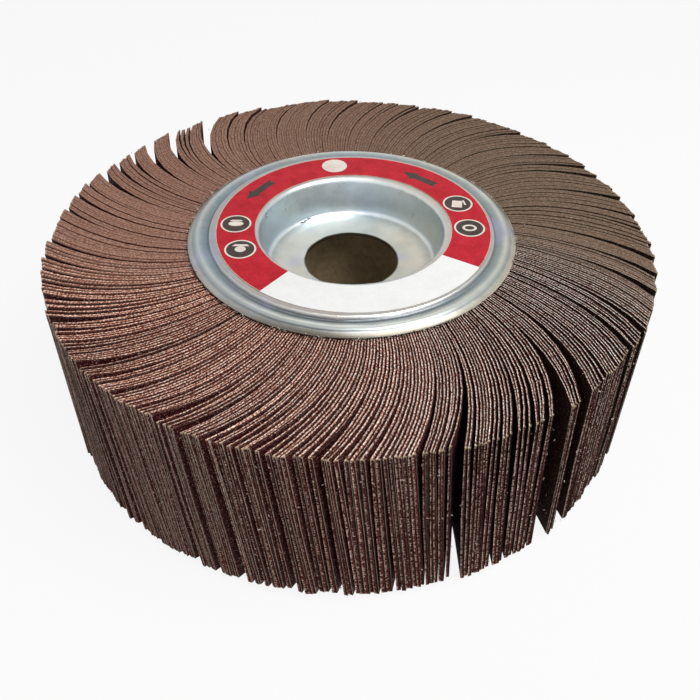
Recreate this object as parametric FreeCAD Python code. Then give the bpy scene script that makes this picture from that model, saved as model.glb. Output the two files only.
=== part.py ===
"""Flap wheel, 165 x 50 mm, with a 54 mm seat at each side.

Two like steel stampings close the hub, one at each side, over a cast resin core that holds the roots of
the flaps. A printed paper ring is stuck to the front stamping. The wheel lies flat: +Z runs along its
axis, and z = 0 is the plateau of the rear flange, which it lies on. All lengths are in millimetres.
"""
import FreeCAD
import Part
import math
import os

# Flaps: flat strips on edge, which lean from the radial line
wheel_d = 165.0
flap_width = 50.0
flap_thickness = 0.5
flap_root_gap = 0.059
flap_lean_deg = 22.0

# Bunches: the flaps stand evenly at the root, and in each bunch their tips draw together
bunch_count = 50
bunch_pattern = (7, 10, 6, 9, 8)
bunch_closing = 0.15

# Flange stamping, a constant sheet: sizes are those of its outer side
sheet = 1.0
arbor_hole_d = 26.3
cup_depth = 11.2
wall_draft_deg = 8.5
seat_d = 54.0
lip_radius = 1.7
plateau_width = 11.9
plateau_rise = 2.6
step_width = 0.8
groove_clearance = 0.6
bead_rise_width = 2.5
bead_fall_width = 2.5
bead_fall_deg = 25.0

# Label and core
label_thickness = 0.15
label_inner_margin = 0.2
label_outer_margin = 1.3
core_fit = 0.3
core_edge_margin = 0.1
root_clearance = 0.1

overall_height = flap_width + 2 * plateau_rise
wheel_axis = FreeCAD.Vector(0, 0, 1)
wheel_middle = FreeCAD.Vector(0, 0, overall_height / 2)


def direction(start, end):
    """Unit direction from one point of a flat outline to another."""
    length = math.hypot(end[0] - start[0], end[1] - start[1])
    return (end[0] - start[0]) / length, (end[1] - start[1]) / length


def revolved(outline, base_height):
    """Solid of revolution from a section given as (radius, height) points above base_height."""
    points = [FreeCAD.Vector(radius, 0, base_height + height) for radius, height in outline]
    return Part.Face(Part.makePolygon(points + points[:1])).revolve(FreeCAD.Vector(0, 0, 0), wheel_axis, 360)


def turned_over(shape):
    """The same shape at the other side of the wheel."""
    other = shape.copy()
    other.rotate(wheel_middle, FreeCAD.Vector(1, 0, 0), 180)
    return other


def flange_corners():
    """Corners of the outer side of the stamping from the arbor hole out, with heights from the plateau."""
    draft = math.radians(wall_draft_deg)
    fall = math.radians(bead_fall_deg)
    wall_top_r = seat_d / 2 - lip_radius * math.tan((math.pi / 2 - draft) / 2)
    wall_foot_r = wall_top_r - cup_depth * math.tan(draft)
    plateau_r = seat_d / 2 + plateau_width
    groove_r = plateau_r + step_width
    bead_r = groove_r + bead_rise_width
    rim_height = sheet / math.cos(fall) - plateau_rise
    return [
        (arbor_hole_d / 2, -cup_depth),
        (wall_foot_r, -cup_depth),
        (wall_top_r, 0.0),
        (plateau_r, 0.0),
        (groove_r, sheet + groove_clearance - plateau_rise),
        (bead_r, rim_height + bead_fall_width * math.tan(fall)),
        (bead_r + bead_fall_width, rim_height),
    ]


def hidden_corners():
    """The same corners on the inner side of the sheet, one thickness away."""
    corners = flange_corners()
    hidden = [(corners[0][0], corners[0][1] - sheet)]
    for before, corner, after in zip(corners, corners[1:], corners[2:]):
        inward = direction(before, corner)
        outward = direction(corner, after)
        reach = sheet / (1 + inward[0] * outward[0] + inward[1] * outward[1])
        hidden.append((corner[0] + (inward[1] + outward[1]) * reach, corner[1] - (inward[0] + outward[0]) * reach))
    fall = direction(corners[-2], corners[-1])
    hidden.append((corners[-1][0], corners[-1][1] - sheet / fall[0]))
    return hidden


def lip_points(wall_foot, wall_top, plateau_edge):
    """Ends of the rounded lip, which is made as one flat, on the wall and on the plateau."""
    wall = direction(wall_foot, wall_top)
    plateau = direction(wall_top, plateau_edge)
    half_turn = math.acos(wall[0] * plateau[0] + wall[1] * plateau[1]) / 2
    tangent = lip_radius * math.tan(half_turn)
    on_wall = (wall_top[0] - wall[0] * tangent, wall_top[1] - wall[1] * tangent)
    on_plateau = (wall_top[0] + plateau[0] * tangent, wall_top[1] + plateau[1] * tangent)
    return [on_wall, on_plateau]


def front_flange():
    """Stamping at the top, with its cup open upwards."""
    hole, wall_foot, wall_top, *rest = flange_corners()
    outer_side = [hole, wall_foot] + lip_points(wall_foot, wall_top, rest[0]) + rest
    return revolved(outer_side + hidden_corners()[::-1], overall_height)


def label():
    """Paper ring on the plateau of the front flange."""
    inner = seat_d / 2 + label_inner_margin
    outer = seat_d / 2 + plateau_width - label_outer_margin
    section = [(inner, 0), (outer, 0), (outer, label_thickness), (inner, label_thickness)]
    return revolved(section, overall_height)


def core_radii():
    """Bore of the core, clear of the cups, and its outside, within the flat of the plateau."""
    hidden_wall_top = hidden_corners()[2]
    hidden_plateau_edge = hidden_corners()[3]
    return hidden_wall_top[0] + core_fit, hidden_plateau_edge[0] - core_edge_margin


def resin_core():
    """Cast ring between the two plateaus, which holds the roots of the flaps."""
    inner, outer = core_radii()
    top = overall_height - sheet
    return revolved([(inner, sheet), (outer, sheet), (outer, top), (inner, top)], 0)


def flap_ends():
    """Radius of root and tip, and the angle that the lean brings the tip back by."""
    root_r = core_radii()[1] + root_clearance
    tip_r = (wheel_d - flap_thickness) / 2
    lean = math.radians(flap_lean_deg)
    return root_r, tip_r, lean - math.asin(root_r * math.sin(lean) / tip_r)


def flap(root_angle, tip_shift):
    """One flap from its root to a tip that is moved round by tip_shift."""
    root_r, tip_r, sweep = flap_ends()
    tip_angle = root_angle - sweep + tip_shift
    root = (root_r * math.cos(root_angle), root_r * math.sin(root_angle))
    tip = (tip_r * math.cos(tip_angle), tip_r * math.sin(tip_angle))
    along = direction(root, tip)
    side = FreeCAD.Vector(-along[1], along[0], 0) * (flap_thickness / 2)
    root_middle = FreeCAD.Vector(root[0], root[1], plateau_rise)
    tip_middle = FreeCAD.Vector(tip[0], tip[1], plateau_rise)
    corners = [root_middle - side, tip_middle - side, tip_middle + side, root_middle + side]
    return Part.Face(Part.makePolygon(corners + corners[:1])).extrude(wheel_axis * flap_width)


def flap_count():
    """As many flaps as stand side by side around the root circle."""
    room = 2 * math.pi * flap_ends()[0] * math.cos(math.radians(flap_lean_deg))
    return int(room / (flap_thickness + flap_root_gap))


def bunch_limits(flaps):
    """Number of the first flap of each bunch, and of the one after the last, in the proportions of the pattern."""
    shares = [bunch_pattern[number % len(bunch_pattern)] for number in range(bunch_count)]
    return [round(flaps * sum(shares[:number]) / sum(shares)) for number in range(bunch_count + 1)]


def flap_bunch(first, following, pitch):
    """Flaps of one bunch as separate solids, with their tips drawn towards the bunch's middle."""
    middle = (first + following - 1) / 2
    return [flap(number * pitch, (middle - number) * pitch * bunch_closing) for number in range(first, following)]


def build():
    """All named pieces of the wheel."""
    front = front_flange()
    pieces = {
        "front_flange": front,
        "rear_flange": turned_over(front),
        "label": label(),
        "resin_core": resin_core(),
    }
    flaps = flap_count()
    limits = bunch_limits(flaps)
    for number, (first, following) in enumerate(zip(limits, limits[1:]), start=1):
        bunch = flap_bunch(first, following, 2 * math.pi / flaps)
        pieces[f"flap_bunch_{number:02d}"] = Part.makeCompound(bunch)
    return pieces


os.makedirs("parts", exist_ok=True)
for name, shape in build().items():
    shape.exportStep(f"parts/{name}.step")
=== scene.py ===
"""Flap wheel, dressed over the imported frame. Lengths in this script are in millimetres until they are placed."""
import bpy
import math
import random
from mathutils import Matrix, Vector


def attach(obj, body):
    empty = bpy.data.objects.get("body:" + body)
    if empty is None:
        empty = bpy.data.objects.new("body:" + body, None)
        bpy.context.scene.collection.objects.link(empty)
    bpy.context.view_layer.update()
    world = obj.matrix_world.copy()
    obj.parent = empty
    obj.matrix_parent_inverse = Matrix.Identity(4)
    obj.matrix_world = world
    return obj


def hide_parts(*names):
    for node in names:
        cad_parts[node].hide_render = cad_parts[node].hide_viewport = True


MM = 0.001
PLATEAU = 55.2
REAR_PLATEAU = 0.0
FLAP_TOP = 52.6
FLAP_BOTTOM = 2.6

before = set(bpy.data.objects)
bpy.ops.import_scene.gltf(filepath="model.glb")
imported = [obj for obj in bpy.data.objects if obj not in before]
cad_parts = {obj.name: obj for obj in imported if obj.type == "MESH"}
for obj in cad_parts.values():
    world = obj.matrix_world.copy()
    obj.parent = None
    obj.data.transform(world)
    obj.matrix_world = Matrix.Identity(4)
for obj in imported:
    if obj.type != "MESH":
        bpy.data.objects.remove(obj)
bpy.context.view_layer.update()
dice = random.Random(1650)


def start_clean():
    """Object mode with nothing selected."""
    if bpy.context.object and bpy.context.object.mode != 'OBJECT':
        bpy.ops.object.mode_set(mode='OBJECT')
    bpy.ops.object.select_all(action='DESELECT')


def edit(piece, what):
    """Opens a piece for editing in one kind of element, with nothing selected."""
    start_clean()
    bpy.context.view_layer.objects.active = piece
    piece.select_set(True)
    bpy.ops.object.mode_set(mode='EDIT')
    bpy.ops.mesh.select_mode(type=what)
    bpy.ops.mesh.select_all(action='DESELECT')


def shade(piece, degrees):
    """Smooth shading across bends that are softer than the angle."""
    start_clean()
    bpy.context.view_layer.objects.active = piece
    piece.select_set(True)
    bpy.ops.object.shade_smooth_by_angle(angle=math.radians(degrees))
    piece.select_set(False)


def settle(piece, slot, *nodes):
    """The piece rides on the wheel and stands for its nodes. The slot is not used."""
    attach(piece, "root")
    if nodes:
        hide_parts(*nodes)


# Materials

def node(tree, kind, place, **values):
    """Adds a node and sets its named inputs."""
    made = tree.nodes.new(kind)
    made.location = place
    for name, value in values.items():
        made.inputs[name.replace('_', ' ')].default_value = value
    return made


def new_group(name, inputs, outputs):
    """Empty shader node group with its sockets."""
    group = bpy.data.node_groups.new(name, 'ShaderNodeTree')
    for label, kind, value in inputs:
        group.interface.new_socket(name=label, in_out='INPUT', socket_type=kind).default_value = value
    for label, kind in outputs:
        group.interface.new_socket(name=label, in_out='OUTPUT', socket_type=kind)
    start = group.nodes.new('NodeGroupInput')
    start.location = (-900, 0)
    end = group.nodes.new('NodeGroupOutput')
    end.location = (900, 0)
    return group, start, end


def ramp(tree, place, value, *stops):
    """Colour that a value picks from a ramp of (position, colour) stops."""
    made = tree.nodes.new('ShaderNodeValToRGB')
    made.location = place
    elements = made.color_ramp.elements
    elements[0].position, elements[0].color = stops[0]
    elements[1].position, elements[1].color = stops[-1]
    for position, colour in stops[1:-1]:
        elements.new(position).color = colour
    tree.links.new(value, made.inputs['Fac'])
    return made.outputs['Color']


def grey(value):
    return (value, value, value, 1)


def srgb(red, green, blue):
    """Linear colour from a screen colour in 0 to 255."""
    def linear(value):
        value /= 255
        return value / 12.92 if value <= 0.04045 else ((value + 0.055) / 1.055) ** 2.4
    return (linear(red), linear(green), linear(blue), 1)


def mixed(tree, place, first, second, factor, blend='MIX'):
    """Colour mix of two sockets or colours."""
    made = tree.nodes.new('ShaderNodeMix')
    made.data_type = 'RGBA'
    made.blend_type = blend
    made.location = place
    for socket, value in ((made.inputs[0], factor), (made.inputs[6], first), (made.inputs[7], second)):
        if isinstance(value, bpy.types.NodeSocket):
            tree.links.new(value, socket)
        else:
            socket.default_value = value
    return made.outputs[2]


def sum_of(tree, place, operation, first, second):
    """Maths node on two sockets or numbers."""
    made = tree.nodes.new('ShaderNodeMath')
    made.operation = operation
    made.location = place
    for socket, value in zip(made.inputs, (first, second)):
        if isinstance(value, bpy.types.NodeSocket):
            tree.links.new(value, socket)
        else:
            socket.default_value = value
    return made.outputs[0]


def speckle_group():
    """Two sizes of spots on Object coordinates, for grain, fluff and dust."""
    group, start, end = new_group(
        'speckle',
        (('Coarse', 'NodeSocketFloat', 900.0), ('Fine', 'NodeSocketFloat', 3000.0), ('Share', 'NodeSocketFloat', 0.5)),
        (('Coarse Spots', 'NodeSocketFloat'), ('Fine Spots', 'NodeSocketFloat'), ('Both', 'NodeSocketFloat')))
    place = group.nodes.new('ShaderNodeTexCoord')
    place.location = (-900, -200)
    coarse = node(group, 'ShaderNodeTexNoise', (-500, 100), Detail=2.0, Roughness=0.6)
    fine = node(group, 'ShaderNodeTexNoise', (-500, -200), Detail=1.0, Roughness=0.5)
    for noise, scale in ((coarse, 'Coarse'), (fine, 'Fine')):
        group.links.new(place.outputs['Object'], noise.inputs['Vector'])
        group.links.new(start.outputs[scale], noise.inputs['Scale'])
    both = group.nodes.new('ShaderNodeMix')
    both.location = (-100, 0)
    group.links.new(start.outputs['Share'], both.inputs[0])
    group.links.new(coarse.outputs['Fac'], both.inputs[2])
    group.links.new(fine.outputs['Fac'], both.inputs[3])
    group.links.new(coarse.outputs['Fac'], end.inputs['Coarse Spots'])
    group.links.new(fine.outputs['Fac'], end.inputs['Fine Spots'])
    group.links.new(both.outputs[0], end.inputs['Both'])
    return group


SPECKLE = speckle_group()


def speckle(tree, place, coarse, fine, share):
    made = tree.nodes.new('ShaderNodeGroup')
    made.node_tree = SPECKLE
    made.location = place
    made.inputs['Coarse'].default_value = coarse
    made.inputs['Fine'].default_value = fine
    made.inputs['Share'].default_value = share
    return made


def material(name, **values):
    """Material with a Principled shader and plain socket values."""
    made = bpy.data.materials.new(name)
    made.use_nodes = True
    tree = made.node_tree
    shader = tree.nodes['Principled BSDF']
    for label, value in values.items():
        shader.inputs[label.replace('_', ' ')].default_value = value
    return made, tree, shader


def bump(tree, shader, height, strength, distance):
    """Bump from a height into the shader's normal."""
    made = node(tree, 'ShaderNodeBump', (-200, -400), Strength=strength, Distance=distance * MM)
    tree.links.new(height, made.inputs['Height'])
    tree.links.new(made.outputs['Normal'], shader.inputs['Normal'])


def attribute_parts(tree, place, name):
    """Three channels of an attribute."""
    found = tree.nodes.new('ShaderNodeAttribute')
    found.attribute_name = name
    found.location = place
    parts = tree.nodes.new('ShaderNodeSeparateXYZ')
    parts.location = (place[0] + 200, place[1])
    tree.links.new(found.outputs['Vector'], parts.inputs['Vector'])
    return parts.outputs


def toned(tree, place, colour, tone, tint):
    """Colour varied from flap to flap."""
    tinted = mixed(tree, place, colour, tint, tone['Y'], 'MULTIPLY')
    value = tree.nodes.new('ShaderNodeHueSaturation')
    value.location = (place[0] + 200, place[1])
    tree.links.new(tinted, value.inputs['Color'])
    tree.links.new(sum_of(tree, (place[0], place[1] - 250), 'ADD', tone['X'], 0.5), value.inputs['Value'])
    return value.outputs['Color']


def near(tree, place, distance, spots, reach, torn):
    """One within about reach millimetres of an edge and nought further off, along a torn line."""
    wander = sum_of(tree, place, 'MULTIPLY', spots, torn)
    total = sum_of(tree, (place[0] + 150, place[1]), 'ADD', distance, wander)
    mask = node(tree, 'ShaderNodeMapRange', (place[0] + 300, place[1]))
    tree.links.new(total, mask.inputs['Value'])
    mask.inputs['From Min'].default_value = reach + torn * 0.5 - 0.1
    mask.inputs['From Max'].default_value = reach + torn * 0.5 + 0.15
    mask.inputs['To Min'].default_value = 1.0
    mask.inputs['To Max'].default_value = 0.0
    return mask.outputs['Result']


def cloth_material(name, colours, sparks, tint, rough, relief):
    """Face of the coated cloth: grained, with bright specks, and frayed pale along the edges."""
    made, tree, shader = material(name, Roughness=rough, Specular_IOR_Level=0.1)
    grain = speckle(tree, (-1500, 200), 1500.0, 3000.0, 0.5)
    body = ramp(tree, (-1200, 200), grain.outputs['Both'], *colours)
    bright = ramp(tree, (-1200, -50), grain.outputs['Fine Spots'], (sparks[0], grey(0)), (sparks[0] + 0.05, grey(1)))
    sparkling = mixed(tree, (-900, 200), body, sparks[1], bright)
    rim = attribute_parts(tree, (-1500, -300), 'rim')
    at_tip = near(tree, (-1200, -300), rim['X'], grain.outputs['Both'], 0.12, 1.4)
    at_side = near(tree, (-1200, -550), rim['Y'], grain.outputs['Both'], -0.05, 1.2)
    frayed = sum_of(tree, (-700, -300), 'MAXIMUM', at_tip, at_side)
    threads = ramp(tree, (-900, -50), grain.outputs['Coarse Spots'],
                   (0.36, srgb(132, 98, 82)), (0.62, srgb(252, 234, 218)))
    whole = mixed(tree, (-500, 200), sparkling, threads, frayed)
    tone = attribute_parts(tree, (-700, -600), 'tone')
    tree.links.new(toned(tree, (-300, 200), whole, tone, tint), shader.inputs['Base Color'])
    bump(tree, shader, grain.outputs['Both'], 1.0, relief)
    return made


def edge_material():
    """Cut edge of a flap: pale threads, then the dark grain coat with painted shade, or felt with a soft seam where
    flaps press.
    """
    made, tree, shader = material('cut_edge', Roughness=0.9, Specular_IOR_Level=0.08)
    grain = speckle(tree, (-1500, 200), 1500.0, 3600.0, 0.4)
    rim = attribute_parts(tree, (-1500, -300), 'rim')
    tone = attribute_parts(tree, (-900, -600), 'tone')
    # Beads of thread along the edge, fainter at the right
    length = sum_of(tree, (-2000, 300), 'MULTIPLY', sum_of(tree, (-2150, 300), 'ADD', rim['X'], rim['Y']), 7.0)
    skew = sum_of(tree, (-2000, 100), 'MULTIPLY', rim['Z'], 3.0)
    loose = sum_of(tree, (-2000, -100), 'MULTIPLY', grain.outputs['Coarse Spots'], 12.0)
    phase = sum_of(tree, (-1850, 200), 'ADD', sum_of(tree, (-1850, 350), 'ADD', length, skew), loose)
    swing = node(tree, 'ShaderNodeMapRange', (-1850, 0))
    swing.inputs['To Min'].default_value = 0.045
    swing.inputs['To Max'].default_value = 0.018
    tree.links.new(tone['Y'], swing.inputs['Value'])
    wave = sum_of(tree, (-1700, 350), 'SINE', phase, 0.0)
    bead = sum_of(tree, (-1700, 200), 'MULTIPLY', wave, swing.outputs['Result'])
    knotted = sum_of(tree, (-1550, 350), 'ADD', grain.outputs['Both'], bead)
    # Thread of the cloth, warm or dusty, and the coat, with painted shade that takes it to near black at its outside
    cloth = ramp(tree, (-1200, 300), knotted,
                 (0.4, srgb(104, 54, 42)), (0.5, srgb(202, 141, 116)), (0.6, srgb(255, 231, 212)))
    greyer = ramp(tree, (-1200, 450), knotted,
                  (0.4, srgb(84, 52, 46)), (0.49, srgb(208, 176, 162)), (0.57, srgb(255, 253, 248)))
    coat = ramp(tree, (-1200, 0), grain.outputs['Fine Spots'],
                (0.36, srgb(40, 8, 10)), (0.54, srgb(98, 42, 38)), (0.72, srgb(164, 102, 90)))
    across = sum_of(tree, (-1350, -100), 'ADD', rim['Z'], 0.5)
    coat_outside_shade = ramp(tree, (-1200, -100), across, (0.55, grey(1)), (0.78, grey(0.3)), (0.92, grey(0.04)))
    dark = mixed(tree, (-1000, 0), coat, coat_outside_shade, 1.0, 'MULTIPLY')
    # Painted shade: the coat darkens further towards the right of the wheel, where the gaps lie in shadow
    dark = mixed(tree, (-900, 0), dark, srgb(20, 12, 10), sum_of(tree, (-1050, 150), 'MULTIPLY', tone['Y'], 0.6))
    # Torn line between the two, lost in places where the tip is worn
    torn = sum_of(tree, (-1200, -250), 'MULTIPLY', grain.outputs['Coarse Spots'], 1.5)
    worn = near(tree, (-1500, -600), rim['X'], grain.outputs['Both'], 0.05, 0.1)
    line = sum_of(tree, (-1050, -250), 'ADD', rim['Z'], sum_of(tree, (-1200, -150), 'SUBTRACT', torn, bead))
    broken = ramp(tree, (-1500, -800), grain.outputs['Coarse Spots'], (0.4, grey(0.22)), (0.56, grey(0.58)))
    loss = sum_of(tree, (-1200, -500), 'MULTIPLY', worn, broken)
    line = sum_of(tree, (-1050, -400), 'ADD', line, loss)
    whole = sum_of(tree, (-750, -450), 'SUBTRACT', 1.0, worn)
    finer = sum_of(tree, (-1200, -650), 'MULTIPLY', sum_of(tree, (-1350, -650), 'MULTIPLY', tone['Y'], 0.08), whole)
    line = sum_of(tree, (-1050, -550), 'ADD', line, finer)
    side = ramp(tree, (-900, -250), line, (0.7, grey(0)), (0.81, grey(1)))
    # Worn tips show as dots of thread
    dots = ramp(tree, (-1200, 550), knotted,
                (0.38, srgb(104, 68, 58)), (0.46, srgb(178, 138, 122)), (0.56, srgb(255, 240, 224)))
    pale = mixed(tree, (-1000, 300), cloth, greyer, tone['Y'])
    dusty = sum_of(tree, (-1200, 800), 'MULTIPLY', tone['Y'], 0.3)
    dusted = mixed(tree, (-1000, 600), dots, srgb(244, 226, 210), dusty)
    pale = mixed(tree, (-950, 300), pale, dusted, worn)
    sharp = mixed(tree, (-800, 200), pale, dark, side)
    # Felted edges with a soft seam between neighbours
    felt = ramp(tree, (-900, 450), grain.outputs['Both'],
                (0.36, srgb(122, 84, 69)), (0.5, srgb(158, 117, 101)), (0.66, srgb(192, 158, 141)))
    beside = sum_of(tree, (-1200, 700), 'ABSOLUTE', rim['Z'], 0.0)
    ragged = sum_of(tree, (-1200, 850), 'MULTIPLY', grain.outputs['Coarse Spots'], 0.3)
    together = sum_of(tree, (-1050, 700), 'ADD', beside, ragged)
    seam = ramp(tree, (-900, 700), together, (0.46, grey(0)), (0.64, grey(0.6)))
    matted = mixed(tree, (-700, 500), felt, srgb(98, 54, 45), seam)
    matted = mixed(tree, (-650, 650), matted, srgb(196, 218, 212), tone['Y'], 'MULTIPLY')
    both = mixed(tree, (-600, 200), sharp, matted, sum_of(tree, (-700, -600), 'MULTIPLY', tone['Z'], whole))
    at_tip = near(tree, (-900, -850), rim['X'], grain.outputs['Both'], 0.25, 2.2)
    at_side = near(tree, (-900, -1100), rim['Y'], grain.outputs['Both'], 0.15, 1.8)
    # Pale corners
    corner = sum_of(tree, (-550, -850), 'MULTIPLY', at_tip, at_side)
    capped = mixed(tree, (-450, 200), both, srgb(200, 174, 142), sum_of(tree, (-550, -600), 'MULTIPLY', corner, 0.65))
    cool = mixed(tree, (-450, 400), srgb(240, 248, 248), (1, 1, 1, 1), tone['Z'])
    tree.links.new(toned(tree, (-300, 200), capped, tone, cool), shader.inputs['Base Color'])
    bump(tree, shader, grain.outputs['Both'], 1.0, 0.3)
    return made


cut_edge = edge_material()
grit = cloth_material('grit', ((0.36, srgb(26, 4, 6)), (0.54, srgb(70, 22, 24)), (0.72, srgb(130, 70, 62))),
                      (0.67, srgb(212, 184, 170)), srgb(210, 226, 222), 0.65, 0.35)
backing = cloth_material('backing', ((0.32, srgb(30, 8, 9)), (0.52, srgb(66, 30, 27)), (0.74, srgb(120, 84, 72))),
                         (0.7, srgb(210, 194, 176)), srgb(190, 240, 220), 0.9, 0.2)


# Tones of the plating by radius: light floor of the cup, a wall painted lighter, warm plateau with a painted highlight
# on its rounded edge, painted shade at the foot of the step, a painted highlight and a line of painted shade on the
# bead, and the raw edge
PLATING_AND_PAINTED_LIGHT = ((13.3, (92, 80, 64)), (13.6, (200, 197, 188)), (20, (214, 211, 203)), (23, (214, 213, 208)),
           (24, (240, 244, 250)), (25.6, (238, 241, 244)), (26.3, (202, 199, 195)), (27.4, (196, 192, 188)),
           (37.6, (192, 187, 183)), (38.7, (180, 176, 176)), (39.0, (236, 236, 236)), (39.28, (160, 162, 166)),
           (39.5, (58, 60, 68)), (39.62, (66, 69, 76)), (39.85, (136, 145, 151)), (41.1, (152, 163, 169)),
           (41.8, (186, 194, 196)), (42.3, (236, 240, 238)), (42.7, (182, 190, 192)), (43.2, (170, 177, 179)),
           (43.45, (96, 99, 104)), (43.65, (110, 112, 116)), (43.9, (206, 206, 204)), (44.3, (200, 198, 194)),
           (44.7, (180, 172, 162)), (46, (190, 182, 172)))
# The same step, bead and raw edge away from the front, where the painted shade and painted highlights are softer
SOFT_RIM_AND_PAINTED_LIGHT = ((37.6, (192, 187, 183)), (38.7, (182, 180, 180)), (39.0, (206, 206, 206)), (39.3, (150, 152, 156)),
            (39.55, (120, 122, 128)), (39.95, (140, 150, 156)), (41.1, (158, 168, 172)), (41.8, (188, 193, 192)),
            (42.3, (208, 209, 204)), (43.0, (178, 183, 182)), (43.6, (156, 160, 161)), (44.1, (188, 186, 180)),
            (44.7, (190, 182, 172)), (46, (194, 186, 176)))
# Radii that the tones lie between, and how far the bands wander
BAND_FROM, BAND_TO = 13, 46
BAND_WANDER = 0.3


def banded(tree, place, share, tones):
    """Colours by radius, from (radius, screen colour) tones."""
    width = BAND_TO - BAND_FROM
    return ramp(tree, place, share, *(((radius - BAND_FROM) / width, srgb(*tone)) for radius, tone in tones))


def zinc_material():
    """Zinc plated sheet: bands of tone by radius with painted shade and painted highlights, painted shade on the left,
    on the cup's side walls and on the front of the outer slope, soft blue and buff clouds, faint lilac bloom, fine
    pitting.
    """
    made, tree, shader = material('zinc_plate', Metallic=1.0)
    place = tree.nodes.new('ShaderNodeTexCoord')
    place.location = (-1700, 0)
    clouds = node(tree, 'ShaderNodeTexNoise', (-1100, 300), Scale=34.0, Detail=3.0, Roughness=0.55)
    bloom = node(tree, 'ShaderNodeTexNoise', (-1100, 50), Scale=52.0, Detail=2.0, Roughness=0.5, Distortion=0.6)
    smear = node(tree, 'ShaderNodeTexNoise', (-1100, -200), Scale=210.0, Detail=4.0, Roughness=0.65)
    pits = node(tree, 'ShaderNodeTexNoise', (-1100, -450), Scale=1500.0, Detail=2.0, Roughness=0.6)
    for noise in (clouds, bloom, smear, pits):
        tree.links.new(place.outputs['Object'], noise.inputs['Vector'])
    flat = tree.nodes.new('ShaderNodeVectorMath')
    flat.operation = 'MULTIPLY'
    flat.location = (-1500, 600)
    flat.inputs[1].default_value = (1, 1, 0)
    tree.links.new(place.outputs['Object'], flat.inputs[0])
    radius = tree.nodes.new('ShaderNodeVectorMath')
    radius.operation = 'LENGTH'
    radius.location = (-1300, 600)
    tree.links.new(flat.outputs['Vector'], radius.inputs[0])
    # Bands of tone by radius, with painted shade and painted highlights that are softer away from the front
    wander = sum_of(tree, (-900, 750), 'MULTIPLY', smear.outputs['Fac'], 2 * BAND_WANDER * MM)
    share = node(tree, 'ShaderNodeMapRange', (-900, 600))
    share.inputs['From Min'].default_value = (BAND_FROM + BAND_WANDER) * MM
    share.inputs['From Max'].default_value = (BAND_TO + BAND_WANDER) * MM
    tree.links.new(sum_of(tree, (-1050, 600), 'ADD', radius.outputs['Value'], wander), share.inputs['Value'])
    bands = banded(tree, (-700, 600), share.outputs['Result'], PLATING_AND_PAINTED_LIGHT)
    softer = banded(tree, (-700, 800), share.outputs['Result'], SOFT_RIM_AND_PAINTED_LIGHT)
    parts = tree.nodes.new('ShaderNodeSeparateXYZ')
    parts.location = (-1300, 850)
    tree.links.new(place.outputs['Object'], parts.inputs['Vector'])
    # Mask of the front, where the painted shade and painted highlights are strongest
    along = node(tree, 'ShaderNodeMapRange', (-1100, 1700))
    along.inputs['From Min'].default_value = -0.043
    along.inputs['From Max'].default_value = -0.029
    tree.links.new(parts.outputs['Y'], along.inputs['Value'])
    outside = ramp(tree, (-850, 2000), share.outputs['Result'], (0.745, grey(0)), (0.765, grey(1)))
    away = sum_of(tree, (-600, 2000), 'MULTIPLY', along.outputs['Result'], outside)
    toned_bands = mixed(tree, (-500, 700), bands, softer, away)
    # Clouds, and a tint from left to right that holds painted shade: darker and bluer at the left, warmer at the right
    mist = ramp(tree, (-850, 300), clouds.outputs['Fac'],
                (0.34, srgb(232, 242, 248)), (0.5, srgb(250, 252, 251)), (0.66, srgb(255, 249, 240)))
    base = mixed(tree, (-550, 450), toned_bands, mist, 1.0, 'MULTIPLY')
    across = node(tree, 'ShaderNodeMapRange', (-1100, 900))
    across.inputs['From Min'].default_value = -0.045
    across.inputs['From Max'].default_value = 0.045
    tree.links.new(parts.outputs['X'], across.inputs['Value'])
    side_tint_and_shade = ramp(tree, (-850, 900), across.outputs['Result'],
                (0, srgb(228, 232, 236)), (0.5, srgb(252, 254, 255)), (1, srgb(255, 248, 236)))
    base = mixed(tree, (-450, 600), base, side_tint_and_shade, 1.0, 'MULTIPLY')
    # Painted shade on the wall of the cup, darker to both sides
    wall = ramp(tree, (-850, 1200), share.outputs['Result'],
                (0.31, grey(0)), (0.34, grey(1)), (0.37, grey(1)), (0.4, grey(0)))
    turn = ramp(tree, (-850, 1500), across.outputs['Result'],
                (0.24, srgb(196, 204, 208)), (0.5, srgb(255, 255, 255)), (0.76, srgb(214, 212, 206)))
    base = mixed(tree, (-400, 800), base, turn, wall, 'MULTIPLY')
    # Painted shade on the outer slope, darker at the front
    slope = ramp(tree, (-850, 1700), share.outputs['Result'], (0.925, grey(0)), (0.94, grey(1)))
    shaded = mixed(tree, (-600, 1700), srgb(160, 158, 154), (1, 1, 1, 1), along.outputs['Result'])
    base = mixed(tree, (-350, 900), base, shaded, slope, 'MULTIPLY')
    # Bloom and smears
    lilac = ramp(tree, (-850, 50), bloom.outputs['Fac'], (0.58, grey(0)), (0.7, grey(0.35)))
    tinted = mixed(tree, (-550, 250), base, srgb(172, 168, 206), lilac)
    worn = ramp(tree, (-850, -200), smear.outputs['Fac'], (0.35, grey(0.88)), (0.65, grey(1.0)))
    smeared = mixed(tree, (-300, 200), tinted, worn, 1.0, 'MULTIPLY')
    tree.links.new(smeared, shader.inputs['Base Color'])
    # Satin floor, bright elsewhere, with a dull edge
    rough = ramp(tree, (-550, -200), smear.outputs['Fac'], (0.3, grey(0.26)), (0.7, grey(0.36)))
    satin = ramp(tree, (-550, 1100), share.outputs['Result'], (0.2, grey(0.3)), (0.33, grey(0)))
    tree.links.new(sum_of(tree, (-250, -200), 'ADD', rough, satin), shader.inputs['Roughness'])
    bare = ramp(tree, (-550, 900), share.outputs['Result'], (0.962, grey(1)), (0.968, grey(0.15)))
    tree.links.new(bare, shader.inputs['Metallic'])
    bump(tree, shader, pits.outputs['Fac'], 0.15, 0.03)
    return made


zinc = zinc_material()


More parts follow.
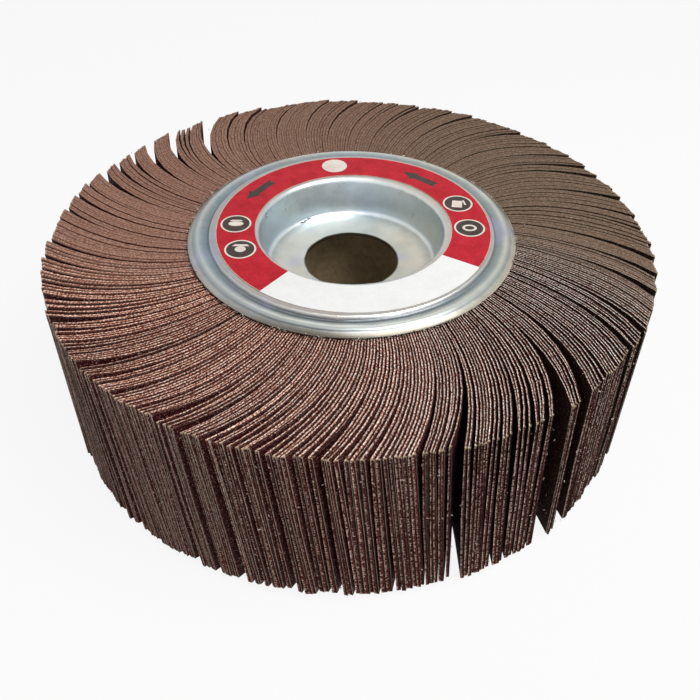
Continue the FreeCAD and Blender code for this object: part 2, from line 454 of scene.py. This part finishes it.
def print_material(name, dark, light, rough):
    """Printed paper with a slight mottle of the ink."""
    made, tree, shader = material(name, Roughness=rough, Specular_IOR_Level=0.2)
    spots = speckle(tree, (-700, 0), 260.0, 1800.0, 0.4)
    ink = ramp(tree, (-400, 0), spots.outputs['Both'], (0.36, dark), (0.64, light))
    tree.links.new(ink, shader.inputs['Base Color'])
    bump(tree, shader, spots.outputs['Fine Spots'], 0.25, 0.02)
    return made


red_ink = print_material('red_ink', srgb(172, 22, 38), srgb(198, 38, 52), 0.55)
white_ink = print_material('white_ink', srgb(238, 238, 235), srgb(245, 245, 243), 0.6)
bare_paper = print_material('bare_paper', srgb(196, 150, 138), srgb(226, 196, 180), 0.7)
dark_ink = print_material('dark_ink', srgb(56, 46, 42), srgb(74, 64, 60), 0.55)
cream_ink = print_material('cream_ink', srgb(222, 208, 196), srgb(242, 232, 222), 0.6)


def resin_material():
    """Dark cast resin with a rough, drawn skin."""
    made, tree, shader = material('cast_resin', Roughness=0.7)
    spots = speckle(tree, (-700, 0), 120.0, 900.0, 0.4)
    colours = ramp(tree, (-400, 0), spots.outputs['Both'], (0.3, srgb(146, 124, 92)), (0.7, srgb(190, 166, 128)))
    tree.links.new(colours, shader.inputs['Base Color'])
    bump(tree, shader, spots.outputs['Both'], 0.6, 0.4)
    return made


cast_resin = resin_material()


# Turned sheet

def rounded(corners):
    """Line of (radius, height) through corners of (radius, height, bend), with each bend as a run of short steps."""
    line = [corners[0][:2]]
    for before, corner, after in zip(corners, corners[1:], corners[2:]):
        point = Vector(corner[:2])
        inward = (point - Vector(before[:2])).normalized()
        outward = (Vector(after[:2]) - point).normalized()
        turn = inward.angle_signed(outward)
        reach = corner[2] * math.tan(abs(turn) / 2)
        first = point - inward * reach
        steps = max(2, math.ceil(abs(math.degrees(turn)) / 12))
        for step in range(steps + 1):
            part = turn * step / steps
            along = corner[2] * math.sin(abs(part))
            aside = corner[2] * (1 - math.cos(part)) * (1 if turn > 0 else -1)
            side = Vector((inward.y, -inward.x))
            line.append(tuple(first + inward * along + side * aside))
    line.append(corners[-1][:2])
    return line


def turned(name, line, around):
    """Open surface turned about the wheel's axis: a circle drawn out ring by ring along the line."""
    start_clean()
    radius, height = line[0]
    bpy.ops.mesh.primitive_circle_add(vertices=around, radius=radius * MM, location=(0, 0, height * MM))
    piece = bpy.context.object
    piece.name = name
    bpy.ops.object.transform_apply(location=True, rotation=True, scale=True)
    bpy.ops.object.mode_set(mode='EDIT')
    bpy.ops.mesh.select_all(action='SELECT')
    for (last_radius, last_height), (radius, height) in zip(line, line[1:]):
        rise = (height - last_height) * MM
        bpy.ops.mesh.extrude_edges_move(TRANSFORM_OT_translate={"value": (0, 0, rise)})
        share = radius / last_radius
        bpy.ops.transform.resize(value=(share, share, 1), center_override=(0, 0, 0))
    bpy.ops.object.mode_set(mode='OBJECT')
    return piece


def finish_with(piece, kind, **values):
    """Adds a modifier with its values and applies it."""
    start_clean()
    bpy.context.view_layer.objects.active = piece
    piece.select_set(True)
    made = piece.modifiers.new(kind.lower(), kind)
    for name, value in values.items():
        setattr(made, name, value)
    bpy.ops.object.modifier_apply(modifier=made.name)


def upward(piece, sign):
    """All faces of an open turned sheet point to one side of it."""
    edit(piece, 'FACE')
    bpy.ops.mesh.select_all(action='SELECT')
    bpy.ops.mesh.normals_make_consistent(inside=False)
    bpy.ops.object.mode_set(mode='OBJECT')
    lean = sum(face.normal.z * face.area for face in piece.data.polygons)
    if lean * sign < 0:
        piece.data.flip_normals()


SHEET = 1.0
STAMPING = ((13.15, -11.2, 0), (23.86, -11.2, 1.5), (25.54, 0, 1.6), (38.9, 0, 0.7), (39.75, -1.05, 0.8),
            (42.35, -0.2, 2.2), (45.1, -1.75, 0))


def stamping(name, plateau, side):
    """Cupped flange with rounded bends, open towards its own side of the wheel."""
    line = [(radius, plateau + side * height) for radius, height in rounded(STAMPING)]
    piece = turned(name, line, 192)
    upward(piece, side)
    finish_with(piece, 'SOLIDIFY', thickness=SHEET * MM, offset=-1.0, use_even_offset=True)
    finish_with(piece, 'BEVEL', width=0.14 * MM, segments=2, limit_method='ANGLE', angle_limit=math.radians(50))
    piece.data.materials.append(zinc)
    shade(piece, 35)
    return piece


front = stamping('front_stamping', PLATEAU, 1)
settle(front, 'flange_steel', 'front_flange')
rear = stamping('rear_stamping', REAR_PLATEAU, -1)
settle(rear, 'flange_steel', 'rear_flange')

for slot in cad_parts["resin_core"].material_slots:
    slot.material = cast_resin


# Label

LABEL_TOP = PLATEAU + 0.15
LABEL_SHIFT = (0.5, 0.05, 0)
WHITE_FROM, WHITE_TO = -128.2, -29.9


def paper_ring():
    """Label with a bare paper edge, a red field and a white one, stuck on a little off centre."""
    piece = turned('label_ring', [(27.05, LABEL_TOP), (27.17, LABEL_TOP), (37.6, LABEL_TOP), (37.8, LABEL_TOP)], 192)
    upward(piece, 1)
    for angle in (WHITE_FROM, WHITE_TO):
        edit(piece, 'FACE')
        bpy.ops.mesh.select_all(action='SELECT')
        turn = math.radians(angle)
        bpy.ops.mesh.bisect(plane_co=(0, 0, 0), plane_no=(-math.sin(turn), math.cos(turn), 0))
        bpy.ops.object.mode_set(mode='OBJECT')
    for finish in (red_ink, white_ink, bare_paper):
        piece.data.materials.append(finish)
    for face in piece.data.polygons:
        radius = math.hypot(face.center.x, face.center.y) / MM
        angle = math.degrees(math.atan2(face.center.y, face.center.x))
        if WHITE_FROM < angle < WHITE_TO:
            face.material_index = 1
        elif not 27.17 < radius < 37.6:
            face.material_index = 2
    for vertex in piece.data.vertices:
        vertex.co += Vector(LABEL_SHIFT) * MM
    finish_with(piece, 'SOLIDIFY', thickness=0.15 * MM, offset=-1.0)
    shade(piece, 30)
    return piece


settle(paper_ring(), 'label_paper', 'label')


def flat_patch(name, outline, middle, turn_deg, height, finish):
    """Printed shape: a flat polygon of (x, y) points, turned and placed on the label."""
    start_clean()
    bpy.ops.mesh.primitive_circle_add(vertices=len(outline), radius=1 * MM, fill_type='NGON')
    piece = bpy.context.object
    piece.name = name
    turn = Matrix.Rotation(math.radians(turn_deg), 4, 'Z')
    for vertex, (x, y) in zip(piece.data.vertices, outline):
        place = turn @ Vector((x, y, 0)) + Vector((*middle, height))
        vertex.co = place * MM
    piece.data.materials.append(finish)
    upward(piece, 1)
    settle(piece, 'label_paper')
    return piece


def on_label(radius, angle):
    return radius * math.cos(math.radians(angle)), radius * math.sin(math.radians(angle))


def round_outline(radius, count, squash=1.0):
    return [(radius * math.cos(2 * math.pi * k / count), squash * radius * math.sin(2 * math.pi * k / count))
            for k in range(count)]


ARROW = ((-6.0, 1.2), (-5.0, 0), (-6.0, -1.2), (2.2, -1.2), (2.2, -2.1), (6.2, 0), (2.2, 2.1), (2.2, 1.2))
for number, angle in enumerate((145.4, 51.1), start=1):
    flat_patch(f'label_arrow_{number}', ARROW, on_label(32.5, angle), angle + 90, LABEL_TOP + 0.02, dark_ink)

BADGES = ((179.3, 32.0), (-158.4, 31.8), (21.1, 32.5), (-1.3, 32.5))
MARKS = (
    (round_outline(2.1, 24, 0.55), ((-1.9, 1.2), (1.9, 1.2), (1.2, 1.9), (-1.2, 1.9))),
    (round_outline(1.5, 24, 0.9), ((-2.4, 1.3), (2.4, 1.3), (1.6, 2.2), (-1.6, 2.2))),
    (((-1.9, -1.9), (1.0, -2.2), (1.5, 1.3), (-1.4, 1.6)), ((1.9, -0.9), (2.4, -0.7), (1.9, 1.7), (1.4, 1.5))),
    (round_outline(2.0, 24, 0.8), round_outline(1.3, 24, 0.7)),
)
for number, ((angle, radius), marks) in enumerate(zip(BADGES, MARKS), start=1):
    middle = on_label(radius, angle)
    flat_patch(f'badge_{number}_ring', round_outline(4.25, 48), middle, 0, LABEL_TOP + 0.02, cream_ink)
    flat_patch(f'badge_{number}_disc', round_outline(3.75, 48), middle, 0, LABEL_TOP + 0.035, dark_ink)
    flat_patch(f'badge_{number}_mark', marks[0], middle, 0, LABEL_TOP + 0.05, cream_ink)
    top_ink = dark_ink if number == 4 else cream_ink
    flat_patch(f'badge_{number}_bar', marks[1], middle, 0, LABEL_TOP + 0.065, top_ink)
flat_patch('label_blank_disc', round_outline(3.8, 48), on_label(32.9, 99.4), 0, LABEL_TOP + 0.02, cream_ink)


# Flaps

FLAPS = 400
PITCH = 360 / FLAPS
BUNCHES = 50
BUNCH_PATTERN = (7, 10, 6, 9, 8)
ROOT_R = 38.45
TIP_R = 82.35
RUNOUT = 0.82
STEPS = 8

# Length and half width by which the finish of a flap tells how near to its edges a point is
EDGE_LENGTH, EDGE_HALF_WIDTH = 44, 25

# Bunches are set at the tips, at the outer of these radii, and the shift fades out at the inner one
BUNCH_FROM, BUNCH_AT = 46, 81

# Lean from the radial line in degrees at radii of 43, 53, 63, 73 and 81, by place round the wheel
LEAN_RADII = (43, 53, 63, 73, 81)
LEANS = ((-175, 14, 17, 27, 34, 37), (-155, 3, 12, 20, 25, 33), (-145, 0, 6, 14, 23, 32), (-135, 1, 7, 15, 23, 35),
         (-115, 0, 9, 18, 29, 36), (-95, 3, 13, 22, 30, 33), (-75, 3, 11, 21, 28, 31), (-55, 9, 16, 23, 33, 39),
         (-35, 10, 13, 20, 29, 37), (-15, 13, 18, 19, 27, 37), (5, 12, 19, 25, 31, 38), (25, 1, 6, 23, 37, 41),
         (45, 1, 6, 24, 36, 47), (65, 1, 7, 17, 26, 36), (85, 2, 6, 17, 27, 36), (105, 1, 7, 16, 29, 49),
         (115, 3, 10, 20, 32, 53), (125, 5, 14, 25, 34, 45), (145, 3, 8, 17, 28, 40), (165, 8, 14, 20, 26, 34),
         (185, 14, 17, 27, 34, 37))

# Gaps between the tips: place and extra width in degrees
GAPS = ((-176.5, .7), (-171, .9), (-167, .7), (-162.8, .9), (-158.5, .7), (-155, .7), (-152, 1.5), (-148.7, .7),
        (-144, .7), (-141.7, .6), (-138.3, 1.5), (-134.3, 1.5), (-129, .6), (-124, .8), (-119.7, 1.5), (-115.3, 1.3),
        (-111, .8), (-108.3, .5), (-106, .6), (-101.7, 1.5), (-97.7, .7), (-93.7, .7), (-90.3, .7), (-84.5, .4),
        (-79, .9), (-73, 2.2), (-66, .5), (-60.5, .6), (-54.2, 3.6), (-48.9, 2.2), (-43.5, .4), (-39, .5),
        (-34.5, .5), (-28.8, 1.8), (-22.5, .3), (-17.3, 1.5), (-12, 1.0), (-6.8, 1.2), (-2, .6), (3, 1.0), (7.9, .8),
        (13.9, 1.3), (18.6, .3), (23.8, 1.3), (28, .8), (33.2, 1.8), (40.4, .6), (43.9, .5), (47.2, 1.6), (52, .7),
        (57, .6), (60.6, .9), (65.5, 1.0), (73.2, 1.6), (78.6, .9), (83.5, .8), (88.7, 1.0), (96, .9), (104, .9),
        (113, 1.0), (118.8, .9), (125.8, 4.4), (131.0, .8), (132.4, 1.0), (133.8, .9), (135.9, 2.6), (142.6, 2.4),
        (148, 1.2), (152.9, 1.1), (157.5, 1.8), (163, .5), (167.5, .6), (172.5, .8))


def lean_at(angle, radius):
    """Lean of the flaps in degrees, between the measured places and radii."""
    angle = (angle + 175) % 360 - 175
    row = next(number for number, high in enumerate(LEANS) if angle <= high[0] and number)
    low, high = LEANS[row - 1], LEANS[row]
    share = (angle - low[0]) / (high[0] - low[0])
    leans = [a + (b - a) * share for a, b in zip(low[1:], high[1:])]
    ring = 1
    while ring < len(LEAN_RADII) - 1 and radius > LEAN_RADII[ring]:
        ring += 1
    part = (radius - LEAN_RADII[ring - 1]) / (LEAN_RADII[ring] - LEAN_RADII[ring - 1])
    return leans[ring - 1] + (leans[ring] - leans[ring - 1]) * max(part, 0)


STEP = 0.5
STATIONS = [ROOT_R + STEP * k for k in range(int((86 - ROOT_R) / STEP) + 1)]


def even_line(root_angle):
    """Angles of an undisturbed flap at the stations."""
    angles = [root_angle]
    for radius in STATIONS[:-1]:
        lean = math.radians(lean_at(angles[-1], radius + STEP / 2))
        angles.append(angles[-1] - math.degrees(math.tan(lean) * STEP / (radius + STEP / 2)))
    return angles


def reading(line, radius):
    """Value of a line of stations at a radius."""
    place = (radius - ROOT_R) / STEP
    low = min(int(place), len(line) - 2)
    return line[low] + (line[low + 1] - line[low]) * (place - low)


def tip_shifts(lines):
    """How far each tip moves so that the flaps stand in bunches between the gaps."""
    tips = [reading(line, BUNCH_AT) for line in lines]
    shifts = [0.0] * len(tips)
    bunch_of = [0] * len(tips)
    parts = [0.5] * len(tips)
    for number, (left, left_width) in enumerate(GAPS):
        right, right_width = GAPS[(number + 1) % len(GAPS)]
        room = (right - left) % 360
        inside = sorted(((tip - left) % 360, flap) for flap, tip in enumerate(tips) if (tip - left) % 360 < room)
        first = left_width / 2
        free = room - first - right_width / 2
        for place, (along, flap) in enumerate(inside):
            parts[flap] = (place + 0.5) / len(inside)
            shifts[flap] = first + free * parts[flap] - along
            bunch_of[flap] = number
    return shifts, bunch_of, parts


def flap_master():
    """One flat flap in a unit box: along x, grain side at +y, height along z."""
    start_clean()
    bpy.ops.mesh.primitive_cube_add(size=1, location=(0.5, 0, 0.5))
    piece = bpy.context.object
    piece.name = 'flap_master'
    bpy.ops.object.transform_apply(location=True, rotation=True, scale=True)
    bpy.ops.object.mode_set(mode='EDIT')
    for number in range(1, STEPS):
        bpy.ops.mesh.select_all(action='SELECT')
        bpy.ops.mesh.bisect(plane_co=(number / STEPS, 0, 0), plane_no=(1, 0, 0))
    bpy.ops.mesh.select_all(action='SELECT')
    bpy.ops.mesh.bisect(plane_co=(0, 0, 0.5), plane_no=(0, 0, 1))
    bpy.ops.object.mode_set(mode='OBJECT')
    for finish in (cut_edge, grit, backing):
        piece.data.materials.append(finish)
    for face in piece.data.polygons:
        if abs(face.normal.y) > 0.5:
            face.material_index = 1 if face.normal.y > 0 else 2
    piece.data.color_attributes.new(name='tone', type='FLOAT_COLOR', domain='POINT')
    rim = piece.data.attributes.new(name='rim', type='FLOAT_VECTOR', domain='POINT')
    for value, vertex in zip(rim.data, piece.data.vertices):
        x, y, z = vertex.co
        value.vector = ((1 - x) * EDGE_LENGTH, (1 - abs(2 * z - 1)) * EDGE_HALF_WIDTH, y)
    return piece


def spread(radius):
    """Share of the tip's shift that a flap has at a radius."""
    return max(0.0, (radius - BUNCH_FROM) / (BUNCH_AT - BUNCH_FROM)) ** 2.1


# How far the lower edge of a tip stands round from the upper one, in degrees, by place
TWISTS = ((-180, 1), (-152, 0.5), (-140, 2.8), (-130, 4), (-118, 3.6), (-110, 3.1), (-100, 3.3), (-80, 3.1),
          (-65, 2.8), (-50, 1.9), (-20, 2), (30, 2), (180, 1))


def twist_at(angle):
    """Twist of a flap between its upper and lower edge at the tip."""
    angle = (angle + 180) % 360 - 180
    row = next(number for number, high in enumerate(TWISTS) if angle <= high[0] and number)
    (low, first), (high, last) = TWISTS[row - 1], TWISTS[row]
    return first + (last - first) * (angle - low) / (high - low)


def slim(angle):
    """One at the right, where the upper edges stand apart as thin lines, and nought elsewhere."""
    away = abs((angle + 28 + 180) % 360 - 180)
    return min(max((50 - away) / 20, 0), 1)


def felted(angle):
    """One where the flaps are pressed together and felted, at the back and the left, and nought at the front."""
    angle = (angle + 60) % 360 - 60
    rise = min(max((angle + 30) / 30, 0), 1)
    fall = min(max((212 - angle) / 36, 0), 1)
    return rise * rise * (3 - 2 * rise) * fall * fall * (3 - 2 * fall)


class Flap:
    """Path, size and unevenness of one flap."""

    def __init__(self, line, end_radius, drop, widths, felt, thin):
        self.line = line
        self.end_radius = end_radius
        self.drop = drop
        self.widths = widths
        self.felt = felt
        self.thin = thin
        self.top = FLAP_TOP + dice.gauss(0, 0.12)
        self.bottom = FLAP_BOTTOM + dice.gauss(0, 0.2)
        self.bow = dice.gauss(0, 0.15)

    def path(self, shift):
        """Points at even steps of length along the flap, with the direction at each."""
        points = []
        for radius, angle in zip(STATIONS, self.line):
            turn = math.radians(angle + shift * spread(radius))
            points.append(Vector((radius * math.cos(turn) - RUNOUT * (radius - ROOT_R) / (TIP_R - ROOT_R),
                                  radius * math.sin(turn))))
        lengths = [0.0]
        for start, end in zip(points, points[1:]):
            lengths.append(lengths[-1] + (end - start).length)
        stops = []
        index = 0
        for step in range(STEPS + 1):
            wanted = reading(lengths, self.end_radius) * step / STEPS
            while lengths[index + 1] < wanted:
                index += 1
            share = (wanted - lengths[index]) / (lengths[index + 1] - lengths[index])
            along = (points[index + 1] - points[index]).normalized()
            stops.append((points[index].lerp(points[index + 1], share), along))
        return stops

    def place(self, x, y, z):
        """Point of the wheel for a point of the unit flap."""
        step = round(x * STEPS)
        (high, high_along), (low, low_along) = self.path_high[step], self.path_low[step]
        point = low.lerp(high, z)
        along = low_along.lerp(high_along, z).normalized()
        rim = abs(2 * z - 1)
        # Lower edges press together, and upper ones leave a little room unless they are felted
        share = 1.22 - 0.36 * z - self.thin * max(2 * z - 1, 0) + 0.11 * z * self.felt
        across = y * max(self.widths[step] * share, 0.42) + self.bow * x * x * (1 - rim)
        point = point + Vector((-along.y, along.x)) * across
        out = max(0.0, x - 0.4) / 0.6
        height = self.bottom + (self.top - self.bottom) * z + self.drop * out * out
        if step == STEPS:
            outward = max(along.dot(point.normalized()), 0.4)
            # Tips are cut to the round of the wheel more than square to the flap
            flush = across * math.sqrt(1 - outward * outward) / outward * (0.6 + 0.35 * self.felt)
            point = point + along * (dice.gauss(0, 0.1 - 0.08 * self.felt) - flush)
        return Vector((point.x, point.y, height)) * MM


def shaped_flap(master, flap, tone):
    """Copy of the master with its own mesh, bent to one flap's path."""
    piece = bpy.data.objects.new('flap', master.data.copy())
    bpy.context.collection.objects.link(piece)
    for vertex in piece.data.vertices:
        vertex.co = flap.place(*vertex.co)
    for value in piece.data.color_attributes['tone'].data:
        value.color = tone
    return piece


def widths_between(lines, shifts, number, beside):
    """Room that a flap has between its neighbours of the same bunch, at each step of its length."""
    widths = []
    for step in range(STEPS + 1):
        radius = ROOT_R + (TIP_R - ROOT_R) * step / STEPS
        here = reading(lines[number], radius) + shifts[number] * spread(radius)
        rooms = [PITCH]
        if beside:
            rooms = [abs((reading(lines[other], radius) + shifts[other] * spread(radius) - here + 180) % 360 - 180)
                     for other in beside]
        widths.append(math.radians(sum(rooms) / len(rooms)) * radius * math.cos(math.radians(lean_at(here, radius))))
    return widths


def flap_ring():
    """All flaps, joined into the pieces that stand for the nodes.

    The tone of a flap holds its own shade, how far it stands at the right, which also sets painted shade on its cut
    edge, and how felted it is.
    """
    master = flap_master()
    lines = [even_line(number * PITCH) for number in range(FLAPS)]
    shifts, bunch_of, parts = tip_shifts(lines)
    twist = {}
    first = 0
    for bunch in range(BUNCHES):
        flaps = BUNCH_PATTERN[bunch % len(BUNCH_PATTERN)]
        made = []
        for number in range(first, first + flaps):
            group = bunch_of[number]
            if group not in twist:
                twist[group] = (dice.gauss(0, 0.3), dice.gauss(0, 0.15), dice.gauss(0, 0.25))
            turn_down, drop, longer = twist[group]
            line = lines[number]
            place = reading(line, 70)
            felt = felted(place)
            uneven = 0.15 - 0.12 * felt
            shift = shifts[number] + dice.gauss(0, 1.3 * uneven)
            beside = [other for other in ((number - 1) % FLAPS, (number + 1) % FLAPS) if bunch_of[other] == group]
            widths = widths_between(lines, shifts, number, beside)
            thin = (0.02 + 0.24 * slim(place)) * (1 - felt)
            slant = (0.5 - parts[number]) * (0.3 + 0.9 * felt)
            flap = Flap(line, TIP_R + longer + slant + dice.gauss(0, uneven), drop, widths, felt, thin)
            flap.path_high = flap.path(shift)
            flap.path_low = flap.path(shift + twist_at(place) + turn_down + dice.gauss(0, 0.4 * uneven))
            side = 0.5 - 0.5 * math.cos(math.radians(place - 200))
            tone = (0.5 + dice.gauss(0, uneven), side, felt, 1)
            made.append(shaped_flap(master, flap, tone))
        start_clean()
        for piece in made:
            piece.select_set(True)
        bpy.context.view_layer.objects.active = made[0]
        bpy.ops.object.join()
        piece = bpy.context.object
        piece.name = f'flaps_{bunch + 1:02d}'
        shade(piece, 40)
        settle(piece, 'abrasive_cloth', f'flap_bunch_{bunch + 1:02d}')
        first += flaps
    bpy.data.objects.remove(master)


flap_ring()


# Lint: loose ends of thread along the flange edges, on the flaps and at their tips

def lint_material():
    """Pale dusty thread."""
    made, tree, shader = material('lint', Roughness=0.9, Specular_IOR_Level=0.1)
    spots = speckle(tree, (-700, 0), 500.0, 3000.0, 0.3)
    colours = ramp(tree, (-400, 0), spots.outputs['Both'],
                   (0.42, srgb(64, 42, 36)), (0.5, srgb(158, 136, 120)), (0.6, srgb(232, 222, 210)))
    tree.links.new(colours, shader.inputs['Base Color'])
    return made


def thread_ends(name, places, finish, slot):
    """Short bent threads, each a thin box, at (radius, angle, height, length, width, turn, rise)."""
    start_clean()
    bpy.ops.mesh.primitive_cube_add(size=1, location=(0, 0, 0))
    master = bpy.context.object
    bpy.ops.object.mode_set(mode='EDIT')
    bpy.ops.mesh.select_all(action='SELECT')
    bpy.ops.mesh.bisect(plane_co=(0, 0, 0), plane_no=(1, 0, 0))
    bpy.ops.object.mode_set(mode='OBJECT')
    master.data.materials.append(finish)
    made = []
    for radius, angle, height, length, width, turn, rise in places:
        piece = bpy.data.objects.new(name, master.data.copy())
        bpy.context.collection.objects.link(piece)
        middle = Vector((*on_label(radius, angle), height))
        middle.x -= RUNOUT * (radius - ROOT_R) / (TIP_R - ROOT_R)
        lay = Matrix.Rotation(math.radians(angle + turn), 4, 'Z') @ Matrix.Rotation(math.radians(-rise), 4, 'Y')
        bend = dice.uniform(-0.4, 0.4) * length
        for vertex in piece.data.vertices:
            x, y, z = vertex.co
            point = Vector((x * length, y * width + bend * x * x, z * width))
            vertex.co = (middle + lay @ point) * MM
        made.append(piece)
    bpy.data.objects.remove(master)
    start_clean()
    for piece in made:
        piece.select_set(True)
    bpy.context.view_layer.objects.active = made[0]
    bpy.ops.object.join()
    bpy.context.object.name = name
    settle(bpy.context.object, slot)


RIM_THREADS, FACE_THREADS, TIP_THREADS = 460, 90, 620


def lint_places(top, up):
    """Random places of thread ends on one side of the wheel, whose flaps end at the height top."""
    places = []
    for number in range(RIM_THREADS):
        places.append((dice.uniform(44.75, 45.6), dice.uniform(0, 360), top + up * dice.uniform(0.3, 1.0),
                       dice.uniform(0.3, 0.9), dice.uniform(0.08, 0.16), dice.gauss(0, 30), up * dice.uniform(-10, 25)))
    for number in range(FACE_THREADS):
        places.append((dice.uniform(47, 81.0), dice.uniform(0, 360), top + up * dice.uniform(0.0, 0.12),
                       dice.uniform(0.3, 1.0), dice.uniform(0.06, 0.11), dice.uniform(0, 360), 0))
    return places


def fluff_places():
    """Random places of fluff on the tips of the flaps."""
    return [(dice.uniform(82.2, 82.75), dice.uniform(0, 360), dice.uniform(FLAP_BOTTOM, FLAP_TOP),
             dice.uniform(0.25, 0.8), dice.uniform(0.09, 0.2), dice.gauss(90, 50), dice.uniform(-90, 90))
            for number in range(TIP_THREADS)]


lint = lint_material()
thread_ends('loose_threads_front', lint_places(FLAP_TOP, 1), lint, 'abrasive_cloth')
thread_ends('loose_threads_rear', lint_places(FLAP_BOTTOM, -1), lint, 'abrasive_cloth')
thread_ends('loose_threads_tips', fluff_places(), lint, 'abrasive_cloth')
scuff = material('scuff', Base_Color=srgb(62, 57, 54), Roughness=0.7)[0]
# Scuff marks at the foot of the cup wall: radius, place, height from the plateau and length
SCRAPES = ((23.62, 130.4, -10.8, 0.9), (23.5, 128.6, -10.9, 1.0), (23.66, 126.8, -10.74, 0.8),
           (23.62, 124.8, -10.78, 1.1), (23.86, 124.2, -10.45, 0.5), (23.72, 122.7, -10.66, 0.7))
thread_ends('cup_scuff', [(radius, angle, PLATEAU + height, length, 0.2, 90, 0)
                          for radius, angle, height, length in SCRAPES], scuff, 'flange_steel')


# Stage

def seen(tree, path):
    """One for rays that show the surround: straight from the camera, mirrored or through glass."""
    mirrored = sum_of(tree, (-500, 300), 'MAXIMUM', path.outputs['Is Glossy Ray'], path.outputs['Is Transmission Ray'])
    return sum_of(tree, (-350, 300), 'MAXIMUM', path.outputs['Is Camera Ray'], mirrored)


def stage():
    """Pale floor that keeps the wheel's shadow, and a white surround."""
    start_clean()
    bpy.ops.mesh.primitive_plane_add(size=4, location=(0, 0, -0.0001))
    floor = bpy.context.object
    floor.name = 'floor'
    made, tree, shader = material('floor', Base_Color=(0.7, 0.7, 0.7, 1), Roughness=0.95, Specular_IOR_Level=0.0)
    glow = node(tree, 'ShaderNodeEmission', (0, -300), Color=(1, 1, 1, 1), Strength=1.0)
    path = tree.nodes.new('ShaderNodeLightPath')
    mix = tree.nodes.new('ShaderNodeMixShader')
    tree.links.new(sum_of(tree, (-200, 300), 'MULTIPLY', seen(tree, path), 0.9), mix.inputs[0])
    tree.links.new(shader.outputs[0], mix.inputs[1])
    tree.links.new(glow.outputs[0], mix.inputs[2])
    tree.links.new(mix.outputs[0], tree.nodes['Material Output'].inputs[0])
    floor.data.materials.append(made)

    world = bpy.context.scene.world or bpy.data.worlds.new('studio')
    bpy.context.scene.world = world
    world.use_nodes = True
    tree = world.node_tree
    tree.nodes.clear()
    end = tree.nodes.new('ShaderNodeOutputWorld')
    dim = node(tree, 'ShaderNodeBackground', (-300, 0), Color=(1, 1, 1, 1), Strength=0.18)
    white = node(tree, 'ShaderNodeBackground', (-300, -200), Color=(1, 1, 1, 1), Strength=1.0)
    path = tree.nodes.new('ShaderNodeLightPath')
    mix = tree.nodes.new('ShaderNodeMixShader')
    tree.links.new(seen(tree, path), mix.inputs[0])
    tree.links.new(dim.outputs[0], mix.inputs[1])
    tree.links.new(white.outputs[0], mix.inputs[2])
    tree.links.new(mix.outputs[0], end.inputs[0])


def lamp(name, place, size, power, aim=(0, 0, 40)):
    """Soft square lamp turned to the wheel."""
    data = bpy.data.lights.new(name, 'AREA')
    data.energy = power
    data.size = size * MM
    made = bpy.data.objects.new(name, data)
    bpy.context.collection.objects.link(made)
    made.location = Vector(place) * MM
    made.rotation_euler = (Vector(aim) - Vector(place)).to_track_quat('-Z', 'Y').to_euler()


CAMERA_PLACE = (-0.177, -194.868, 184.563)
CAMERA_TILT, CAMERA_ROLL = 90 - 42.004, 0.471
CAMERA_LENS = 43.07


def camera():
    """Camera fitted to the photograph's outlines."""
    data = bpy.data.cameras.new('camera')
    data.sensor_width = 36
    data.lens = CAMERA_LENS
    data.clip_start = 0.01
    made = bpy.data.objects.new('camera', data)
    bpy.context.collection.objects.link(made)
    place = Matrix.Translation(Vector(CAMERA_PLACE) * MM)
    tilt = Matrix.Rotation(math.radians(CAMERA_TILT), 4, 'X')
    roll = Matrix.Rotation(math.radians(CAMERA_ROLL), 4, 'Z')
    made.matrix_world = place @ tilt @ roll
    bpy.context.scene.camera = made


stage()
lamp('key', (245, -185, 600), 460, 4.2)
camera()
bpy.context.scene.view_settings.view_transform = 'Standard'
